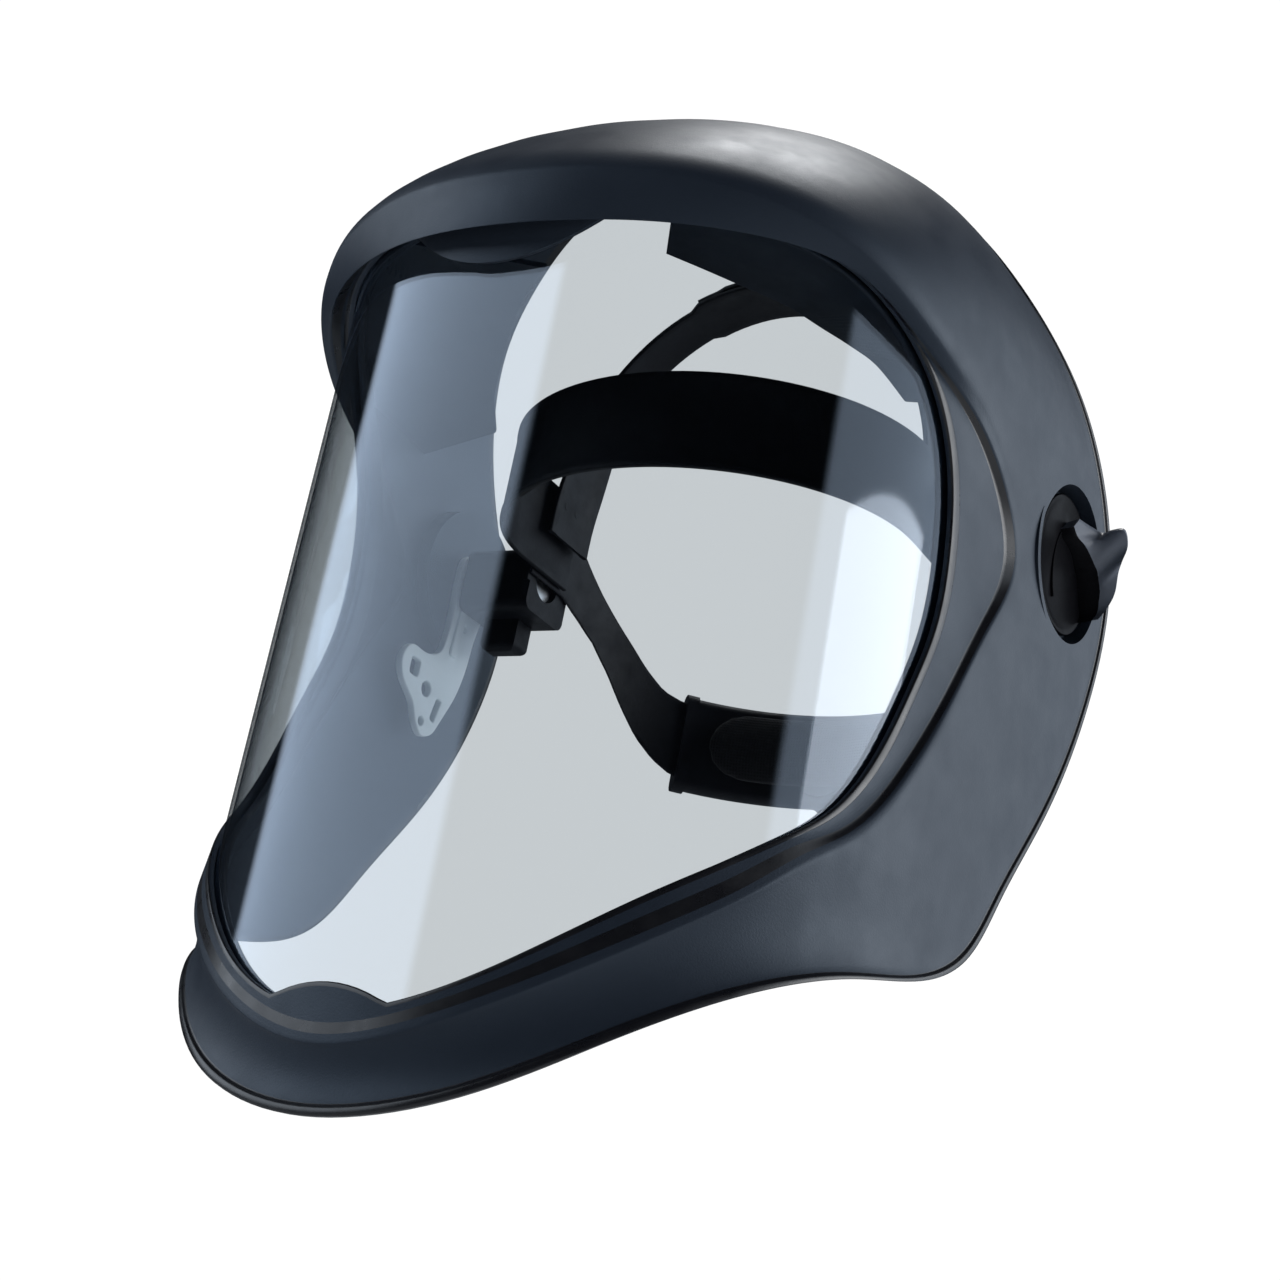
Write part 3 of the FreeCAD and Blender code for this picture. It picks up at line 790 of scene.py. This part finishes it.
def build_pane(clear):
    """Clear sheet held in the shell's groove."""
    upper = []
    lower = []
    for index, station in enumerate(STATIONS):
        place = away_from_window(index, PANE_BITE)
        if place[0] < PANE_SIDE_ANGLE - 2 and station[0][1] > PANE_MIDDLE_Z:
            upper.append(place)
        if place[0] < PANE_SIDE_ANGLE - 2 and station[0][1] < PANE_MIDDLE_Z:
            lower.insert(0, place)
    upper.append((PANE_SIDE_ANGLE, PANE_MIDDLE_Z + PANE_SIDE_HALF))
    lower.append((PANE_SIDE_ANGLE, PANE_MIDDLE_Z - PANE_SIDE_HALF))
    across = 160
    rise = 24
    verts = []
    for step in range(across + 1):
        angle = PANE_SIDE_ANGLE * (2 * step / across - 1)
        high = outline_height(upper, abs(angle))
        low = outline_height(lower, abs(angle))
        for radius, order in ((PANE_R, range(rise + 1)), (PANE_R - PANE_T, range(rise, -1, -1))):
            for k in order:
                verts.append(on_pane(radius, angle, low + (high - low) * k / rise))
    faces = tube_faces(across + 1, 2 * (rise + 1), False)
    size = 2 * (rise + 1)
    faces = faces[:-2]
    for ring in (0, across):
        for k in range(rise):
            faces.append((ring * size + k, ring * size + k + 1, ring * size + size - 2 - k,
                          ring * size + size - 1 - k))
    piece = finish_piece("pane_sheet", verts, faces, [clear], "shield",
                         ("window_pane",))
    sharp_by_angle(piece, 40)


# ---------------------------------------------------------------- pivots


def build_arm(side, name, nylon):
    """Milky tilt arm with a boss at the pivot, a ribbed bar and a slotted foot."""
    outline = round_loop([(-12, 9), (9, 11), (13, 2), (9, -9), (6, -22), (5, -36), (2, -48),
                          (-3, -58), (-8, -68), (-15, -71), (-21, -66), (-24, -60), (-35, -53),
                          (-38, -45), (-33, -38), (-22, -39), (-13, -35), (-11, -20), (-12, -8)],
                         6.0)
    holes = [
        ring_loop((0, 0), 5.1),
        ring_loop((-18, -52), 3.1),
        round_loop([(-31, -50), (-31, -43), (-25, -43), (-25, -50)], 1.5),
        round_loop([(-12, -62), (-10, -53), (-6.5, -53), (-9, -63)], 1.2),
        ring_loop((-17, -65), 1.8),
        ring_loop((-2, -20), 1.3),
    ]
    turn = Matrix(((0, 0, side, side * 120.25 * MM), (1, 0, 0, 0), (0, 1, 0, 0), (0, 0, 0, 1)))
    plate(name, outline, holes, 3.2, turn, "shield", nylon,
          ("tilt_arm_" + side_name(side),), 0.6)
    rib = round_loop([(-8, -13), (-3.5, -13), (-4.5, -34), (-9, -34)], 1.8)
    lift = Matrix(((0, 0, side, side * 118.2 * MM), (1, 0, 0, 0), (0, 1, 0, 0), (0, 0, 0, 1)))
    plate(name + "_rib", rib, [], 1.4, lift, "shield", nylon, (), 0.4)


def inside_dish(y, z):
    """Keeps a point of the knob inside its round base."""
    reach = math.hypot(y, z)
    share = min(1.0, KNOB_REACH / reach)
    return y * share, z * share


def build_clamp_knob(side, black, grey):
    """Clamp knob: dished glossy base with a fine curved rib, and a flared thumb blade whose front scoop
    carries painted shade in the base's black.
    """
    label = side_name(side)
    body = "knob_" + label
    base = [(126.2, 5.1), (126.2, 24.3), (126.9, 25.0), (128.9, 25.0), (129.5, 24.6), (129.6, 23.9),
            (129.2, 22.8), (128.7, 20.0), (129.2, 12.0), (130.1, 6.0), (130.2, 0.0), (127.4, 0.0),
            (127.2, 5.1)]
    turned("clamp_knob_base_" + label, base, (0, 0, 0), (side, 0, 0), body, black,
           ("clamp_knob_" + label,))
    rows = 45
    scoop = (0.0, 0.35, 0.7)
    face = (0.0, 0.04, 0.3, 0.6, 0.9, 1.0)
    rear = (0.0, 0.2, 0.5, 0.8, 1.0)
    size = len(scoop) + len(face) + len(rear)
    verts = []
    for row in range(rows):
        t = row / (rows - 1)
        edge = catmull([place for place, _ in KNOB_BLADE], t)
        crest = catmull([place for _, place in KNOB_BLADE], t)
        edge[1:] = inside_dish(edge[1], edge[2])
        crest[1:] = inside_dish(crest[1], crest[2])
        front = np.array((KNOB_FLOOR, *inside_dish(edge[1] - 2.5, edge[2] - 2.0)))
        back = np.array((KNOB_FLOOR, *inside_dish(edge[1] + 3.0, edge[2] + 3.0)))
        heel = np.array((crest[0] - 0.3, *inside_dish(crest[1] + 1.2, crest[2] + 1.2)))
        loop = [front + (edge - front) * np.array((h, h ** 1.8, h ** 1.8)) for h in scoop]
        loop += [edge + (crest - edge) * h for h in face]
        loop += [heel + (back - heel) * h for h in rear]
        verts += [place * np.array((side, 1, 1)) for place in loop]
    faces = tube_faces(rows, size, False)
    # The scoop at the foot of the blade's front takes the black gloss as painted shade of the hollow;
    # the rest of the blade is grey
    shade = [0 if k % size < len(scoop) and k < (rows - 1) * size else 1 for k in range(len(faces))]
    fin = finish_piece("clamp_knob_fin_" + label, verts, faces, [black, grey], body,
                       indices=shade)
    sharp_by_angle(fin, 40)
    rib = []
    for step in range(19):
        turn = math.radians(-40 + 80 * step / 18)
        rib.append((side * 129.0, 6.0 - 17.0 * math.cos(turn), 19.0 * math.sin(turn) - 3.0))
    strap("clamp_knob_rib_" + label, rib, lambda t: (1, 0, 0), 1.6, 0.7, body, black)


# ---------------------------------------------------------------- headgear


def band_point(inset, degrees):
    """Plan point of the headband, by angle from straight ahead."""
    turn = math.radians(degrees)
    return ((BAND_X - inset) * math.sin(turn), BAND_Y - (BAND_DEPTH - inset) * math.cos(turn))


def build_headband(plastic):
    """Forehead band with beaded edges."""
    middle = sum(BAND_Z) / 2
    path = [(-BAND_X, BAND_BACK, middle), (-BAND_X, (BAND_BACK + BAND_Y) / 2, middle)]
    for step in range(61):
        x, y = band_point(0.0, -90 + 3 * step)
        path.append((x, y, middle))
    path += [(BAND_X, (BAND_BACK + BAND_Y) / 2, middle), (BAND_X, BAND_BACK, middle)]
    strap("forehead_band", path, lambda t: (0, 0, 1), BAND_Z[1] - BAND_Z[0], BAND_T - 1.0,
          "headgear", plastic, ("headband",), bead=0.35)


def nape_point(inset, degrees):
    """Plan point of the nape strap, by angle from straight back."""
    turn = math.radians(degrees)
    return ((NAPE_X - inset) * math.sin(turn), NAPE_CENTRE_Y + (NAPE_REACH - inset) * math.cos(turn))


def build_nape_strap(side, plastic):
    """Nape strap, a curved sheet that falls from the temple into the ratchet sleeve."""
    label = side_name(side)
    rows = 46
    verts = []
    section = rounded_section(2.0, NAPE_T - 0.7)
    turns = [place[0] for place in NAPE_EDGES]
    for row in range(rows):
        if row < 6:
            degrees = 90.0
            x, y = NAPE_X, -14.0 + 4.8 * row
        else:
            degrees = 90.0 - 2.0 * (row - 6)
            x, y = nape_point(0.0, degrees)
        normal = (math.sin(math.radians(degrees)), math.cos(math.radians(degrees)))
        top = float(np.interp(degrees, turns, [place[1] for place in NAPE_EDGES]))
        low = float(np.interp(degrees, turns, [place[2] for place in NAPE_EDGES]))
        for u, v in section:
            z = (top + low) / 2 + u * (top - low) / 2
            edge = 0.35 * max(0.0, abs(u) - 0.8) / 0.2
            v = math.copysign(abs(v) + edge * (abs(u) < 0.995), v)
            verts.append((side * (x + normal[0] * v), y + normal[1] * v, z))
    faces = tube_faces(rows, len(section), False)
    piece = finish_piece("nape_band_" + label, verts, faces, [plastic], "headgear",
                         ("nape_strap_" + label,))
    sharp_by_angle(piece, 50)


def strap_root(t):
    """Share of the flare at the root of the crown strap."""
    u = min(max((t - 0.1) / 0.25, 0.0), 1.0)
    return 1.0 - u * u * (3 - 2 * u)


def build_crown_strap(side, plastic):
    """Half of the over-head strap; the two halves overlap and peg together at the top."""
    label = side_name(side)
    inset = 0.0 if side > 0 else 2.3
    middle = sum(CROWN_Y) / 2
    path = [(side * (CROWN_X - inset), middle + 5.0, CROWN_Z - 5)]
    for step in range(38):
        turn = math.radians(90 - 3 * step)
        x = (CROWN_X - inset) * math.sin(turn)
        z = CROWN_Z + (CROWN_RISE - inset) * math.cos(turn)
        path.append((side * x, middle + 5.0 * strap_root(step / 38), z))
    strap("crown_band_" + label, path, lambda t: (0, 1, 0), CROWN_Y[1] - CROWN_Y[0], 1.4,
          "headgear", plastic, ("crown_strap_" + label,), bead=0.3,
          taper=lambda t: 1.0 + 0.45 * strap_root(t) + 0.25 * (t > 0.62) - 0.12 * (t > 0.93))


def build_crown_pegs(plastic):
    """Size pegs along the overlap."""
    for peg in range(5):
        turn = math.radians(-14 + 7 * peg)
        x = (CROWN_X + 0.2) * math.sin(turn)
        z = CROWN_Z + (CROWN_RISE + 0.2) * math.cos(turn)
        normal = np.array((math.sin(turn) / CROWN_X, 0, math.cos(turn) / CROWN_RISE))
        normal /= np.linalg.norm(normal)
        profile = [(-1.4, 0.0), (-1.4, 2.2), (0.9, 2.2), (1.5, 1.7), (1.7, 0.0)]
        turned("crown_peg_%d" % (peg + 1), profile, (x, sum(CROWN_Y) / 2, z), normal, "headgear",
               plastic, steps=24)


def build_housing(plastic):
    """Nape sleeve: a curved box with rolled ends round the crossing straps."""
    low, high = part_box("nape_housing_cover")
    tall = (high[2] - low[2]) / MM
    path = []
    for step in range(43):
        x, y = nape_point(-1.6, 42 - 2 * step)
        path.append((x, y, RATCHET_Z))
    strap("nape_sleeve", path, lambda t: (0, 0, 1), tall + 2.0, 7.6, "headgear", plastic,
          ("nape_housing_cover", "nape_housing_inner"))
    for label, start in (("left", 42), ("right", -42)):
        lip = []
        for step in range(4):
            x, y = nape_point(-1.6, start - math.copysign(step * 1.1, start))
            lip.append((x, y, RATCHET_Z))
        strap("sleeve_lip_" + label, lip, lambda t: (0, 0, 1), tall + 4.0, 9.0, "headgear", plastic)
    for row in range(5):
        z = RATCHET_Z - 13 + 6.5 * row
        if abs(z - RATCHET_Z) < 3:
            continue
        rib = []
        for step in range(16):
            x, y = nape_point(-5.4, 38 - step)
            rib.append((x, y, z))
        strap("sleeve_rib_left_%d" % row, rib, lambda t: (0, 0, 1), 1.8, 1.0, "headgear", plastic)
        strap("sleeve_rib_right_%d" % row, [(-x, y, z) for x, y, z in rib], lambda t: (0, 0, 1),
              1.8, 1.0, "headgear", plastic)
    boss = [(94.6, 0.0), (94.6, 16.0), (102.6, 16.0), (103.8, 15.0), (104.0, 13.6), (104.0, 0.0)]
    turned("sleeve_boss", boss, (0, 0, RATCHET_Z), (0, 1, 0), "headgear", plastic)


def build_ratchet_knob(black):
    """Hand wheel with scalloped grip and a dished face."""
    profile = [(105.0, 0.0), (105.0, 17.6), (106.2, 18.8), (115.0, 18.8), (116.6, 17.6), (116.9, 15.4),
               (115.4, 13.6), (113.8, 12.6), (113.6, 0.0)]
    def scallop(turn, radius):
        if radius < 16.5:
            return 1.0
        return 1.0 - 0.085 * max(0.0, math.cos(12 * turn)) ** 1.5
    turned("ratchet_wheel", profile, (0, 0, RATCHET_Z), (0, 1, 0), "ratchet", black,
           ("ratchet_knob",), steps=192, wave=scallop)


# ---------------------------------------------------------------- pads


def pad_form(centre_line, width, thick):
    """Closed crowned pad following a plan line, before it is filled."""
    rings = len(centre_line)
    section = []
    for step in range(28):
        turn = 2 * math.pi * step / 28
        u = math.copysign(abs(math.cos(turn)) ** 0.55, math.cos(turn)) * width / 2
        v = math.copysign(abs(math.sin(turn)) ** 0.8, math.sin(turn)) * thick / 2
        section.append((u, v))
    verts = []
    path = np.array(centre_line, float)
    for index, place in enumerate(path):
        ahead = path[min(index + 1, rings - 1)] - path[max(index - 1, 0)]
        ahead /= np.linalg.norm(ahead)
        side = np.array((0, 0, 1.0))
        out = np.cross(ahead, side)
        t = abs(2 * index / (rings - 1) - 1)
        size = math.sqrt(max(1 - t ** 6, 0.02))
        for u, v in section:
            verts.append(place + side * u * size + out * v * (0.35 + 0.65 * size))
    return verts, tube_faces(rings, len(section), False)


def fill_pad(pad):
    """Blows the pad up a little as cloth, so that its cover draws into soft folds."""
    remesh = pad.modifiers.new("even", "REMESH")
    remesh.mode = "VOXEL"
    remesh.voxel_size = PAD_VOXEL
    settle = pad.modifiers.new("settle", "SMOOTH")
    settle.factor = 0.5
    settle.iterations = 8
    apply_modifiers(pad)
    start = [vertex.co.copy() for vertex in pad.data.vertices]
    cloth = pad.modifiers.new("cloth", "CLOTH")
    cloth.settings.quality = 6
    cloth.settings.use_pressure = True
    cloth.settings.uniform_pressure_force = 3.0
    cloth.settings.shrink_min = -0.02
    cloth.settings.effector_weights.gravity = 0.0
    cloth.settings.bending_stiffness = 0.4
    cloth.point_cache.frame_start = 1
    cloth.point_cache.frame_end = PAD_TICKS
    scene = bpy.context.scene
    for tick in range(1, PAD_TICKS + 1):
        scene.frame_set(tick)
    apply_modifiers(pad)
    scene.frame_set(1)
    for vertex, before in zip(pad.data.vertices, start):
        move = vertex.co - before
        if move.length > PAD_SWELL:
            vertex.co = before + move * (PAD_SWELL / move.length)
    smooth = pad.modifiers.new("smooth", "SUBSURF")
    smooth.levels = 1
    smooth.render_levels = 1
    apply_modifiers(pad)
    pad.data.shade_smooth()


def build_pads(knit):
    """Brow and nape cushions, each filled as cloth."""
    line = []
    for step in range(41):
        x, y = band_point(BROW_PAD[0], -62 + 3.1 * step)
        line.append((x, y, sum(BAND_Z) / 2))
    verts, faces = pad_form(line, *BROW_PAD[1:])
    brow = finish_piece("brow_cushion", verts, faces, [knit], "headgear", ("brow_pad",))
    fill_pad(brow)
    line = []
    for step in range(31):
        x, y = nape_point(NAPE_PAD[0], 34 - 2.27 * step)
        line.append((x, y, RATCHET_Z))
    verts, faces = pad_form(line, *NAPE_PAD[1:])
    nape = finish_piece("nape_cushion", verts, faces, [knit], "headgear", ("nape_pad",))
    fill_pad(nape)


# ---------------------------------------------------------------- staging


def give(node, made):
    """Puts a material on a CAD node that stays in view."""
    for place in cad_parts[node].material_slots:
        place.material = made


def build_camera():
    turn = math.radians(VIEW_AZIMUTH)
    lift = math.radians(VIEW_ELEVATION)
    roll = math.radians(VIEW_ROLL)
    back = Vector((math.sin(turn) * math.cos(lift), -math.cos(turn) * math.cos(lift), math.sin(lift)))
    right = Vector((math.cos(turn), math.sin(turn), 0))
    up = back.cross(right)
    x_axis = right * math.cos(roll) + up * math.sin(roll)
    y_axis = up * math.cos(roll) - right * math.sin(roll)
    lens = bpy.data.cameras.new("camera")
    lens.lens = VIEW_LENS
    lens.sensor_width = 36.0
    lens.clip_start = 0.01
    camera = bpy.data.objects.new("camera", lens)
    place = Vector(VIEW_CENTRE) * MM + back * VIEW_DISTANCE * MM
    camera.matrix_world = Matrix((
        (x_axis.x, y_axis.x, back.x, place.x), (x_axis.y, y_axis.y, back.y, place.y),
        (x_axis.z, y_axis.z, back.z, place.z), (0, 0, 0, 1),
    ))
    bpy.context.scene.collection.objects.link(camera)
    bpy.context.scene.camera = camera


def soft_light(name, place, target, size, power, tall=None):
    lamp = bpy.data.lights.new(name, "AREA")
    lamp.shape = "RECTANGLE"
    lamp.size = size
    lamp.size_y = tall or size
    lamp.energy = power
    light = bpy.data.objects.new(name, lamp)
    light.location = place
    light.rotation_euler = (Vector(target) - Vector(place)).to_track_quat("-Z", "Y").to_euler()
    bpy.context.scene.collection.objects.link(light)


def build_stage():
    mesh = bpy.data.meshes.new("floor")
    mesh.from_pydata([(-6, -6, FLOOR_Z), (6, -6, FLOOR_Z), (6, 6, FLOOR_Z), (-6, 6, FLOOR_Z)], [],
                     [(0, 1, 2, 3)])
    made, _, _ = material("pale_floor", (0.8, 0.8, 0.8), 0.8)
    mesh.materials.append(made)
    floor = bpy.data.objects.new("floor", mesh)
    bpy.context.scene.collection.objects.link(floor)
    build_world()
    bpy.context.scene.view_settings.view_transform = "Standard"
    soft_light("key", (1.4, 0.5, 0.15), (0.1, -0.05, -0.1), 0.9, 10.0)
    soft_light("top", (-0.1, 0.35, 1.6), (0, -0.1, 0.1), 0.6, 12.0)


def ramp(tree, source, start, end):
    """Smooth rise from 0 to 1 between two values."""
    node = tree.nodes.new("ShaderNodeMapRange")
    node.interpolation_type = "SMOOTHSTEP"
    node.inputs["From Min"].default_value = start
    node.inputs["From Max"].default_value = end
    tree.links.new(source, node.inputs["Value"])
    return node.outputs["Result"]


def combine(tree, operation, first, second):
    node = tree.nodes.new("ShaderNodeMath")
    node.operation = operation
    tree.links.new(first, node.inputs[0])
    if isinstance(second, float):
        node.inputs[1].default_value = second
    else:
        tree.links.new(second, node.inputs[1])
    return node.outputs["Value"]


def window_mask(tree, source, low, high, soft):
    rise = ramp(tree, source, low - soft, low + soft)
    fall = ramp(tree, source, high + soft, high - soft)
    return combine(tree, "MULTIPLY", rise, fall)


def sky_angles(tree, middle):
    """Azimuth counted from a middle direction, and elevation, in degrees."""
    place = tree.nodes.new("ShaderNodeTexCoord")
    turn = tree.nodes.new("ShaderNodeVectorRotate")
    turn.rotation_type = "Z_AXIS"
    turn.inputs["Angle"].default_value = -math.radians(middle)
    tree.links.new(place.outputs["Generated"], turn.inputs["Vector"])
    split = tree.nodes.new("ShaderNodeSeparateXYZ")
    tree.links.new(turn.outputs["Vector"], split.inputs["Vector"])
    ahead = combine(tree, "MULTIPLY", split.outputs["Y"], -1.0)
    azimuth = combine(tree, "ARCTAN2", split.outputs["X"], ahead)
    elevation = tree.nodes.new("ShaderNodeMath")
    elevation.operation = "ARCSINE"
    tree.links.new(split.outputs["Z"], elevation.inputs[0])
    scale = 180.0 / math.pi
    return (combine(tree, "MULTIPLY", azimuth, scale),
            combine(tree, "MULTIPLY", elevation.outputs["Value"], scale))


def build_world():
    """White backdrop to the eye; for the light, a dim room with broad bright panels."""
    world = bpy.data.worlds.new("studio")
    world.use_nodes = True
    tree = world.node_tree
    total = None
    for (left, right), (low, high), power, soft in WORLD_PANELS:
        middle = (left + right) / 2
        azimuth, elevation = sky_angles(tree, middle)
        across = window_mask(tree, azimuth, left - middle, right - middle, soft)
        upward = window_mask(tree, elevation, low, high, soft)
        panel = combine(tree, "MULTIPLY", combine(tree, "MULTIPLY", across, upward), power)
        total = combine(tree, "ADD", total, panel) if total else panel
    room = tree.nodes["Background"]
    room.inputs["Color"].default_value = (0.80, 0.89, 1.0, 1.0)
    tree.links.new(combine(tree, "ADD", total, WORLD_DIM), room.inputs["Strength"])
    bright = tree.nodes.new("ShaderNodeBackground")
    bright.inputs["Strength"].default_value = 1.05
    path = tree.nodes.new("ShaderNodeLightPath")
    mixed = tree.nodes.new("ShaderNodeMixShader")
    tree.links.new(path.outputs["Is Camera Ray"], mixed.inputs["Fac"])
    tree.links.new(room.outputs["Background"], mixed.inputs[1])
    tree.links.new(bright.outputs["Background"], mixed.inputs[2])
    tree.links.new(mixed.outputs["Shader"], tree.nodes["World Output"].inputs["Surface"])
    bright.inputs["Color"].default_value = (1.0, 1.0, 1.0, 1.0)
    bpy.context.scene.world = world


def main():
    plastic = shell_material()
    # Gloss black for the rim and rear bead, and painted shade on the step under the lip
    gloss_black_and_lip_shade = gloss_material("gloss_black_and_lip_shade", (0.006, 0.006, 0.008), 0.3)
    strap_plastic = strap_material()
    knob_black = gloss_material("knob_gloss", (0.003, 0.003, 0.004), 0.36, 0.02)
    knob_grey = gloss_material("fin_satin", (0.11, 0.125, 0.155), 0.42, 0.4)
    acetal = gloss_material("acetal", (0.25, 0.26, 0.27), 0.4)
    nylon = nylon_material()
    knit = fabric_material()
    steel = steel_material()
    build_shell(plastic, gloss_black_and_lip_shade)
    build_pane(pane_material())
    for side in (1, -1):
        build_brow_shelf(side, plastic)
        build_arm(side, "tilt_link_" + side_name(side), nylon)
        build_clamp_knob(side, knob_black, knob_grey)
        build_nape_strap(side, strap_plastic)
        build_crown_strap(side, strap_plastic)
    build_headband(strap_plastic)
    build_crown_pegs(strap_plastic)
    build_housing(strap_plastic)
    build_ratchet_knob(knob_black)
    build_pads(knit)
    for label in ("left", "right"):
        give("side_bracket_" + label, strap_plastic)
        give("pivot_stud_" + label, steel)
        give("inner_washer_" + label, acetal)
        give("outer_washer_" + label, acetal)
    give("ratchet_pinion", acetal)
    give("strap_rivets", strap_plastic)
    build_camera()
    build_stage()


main()
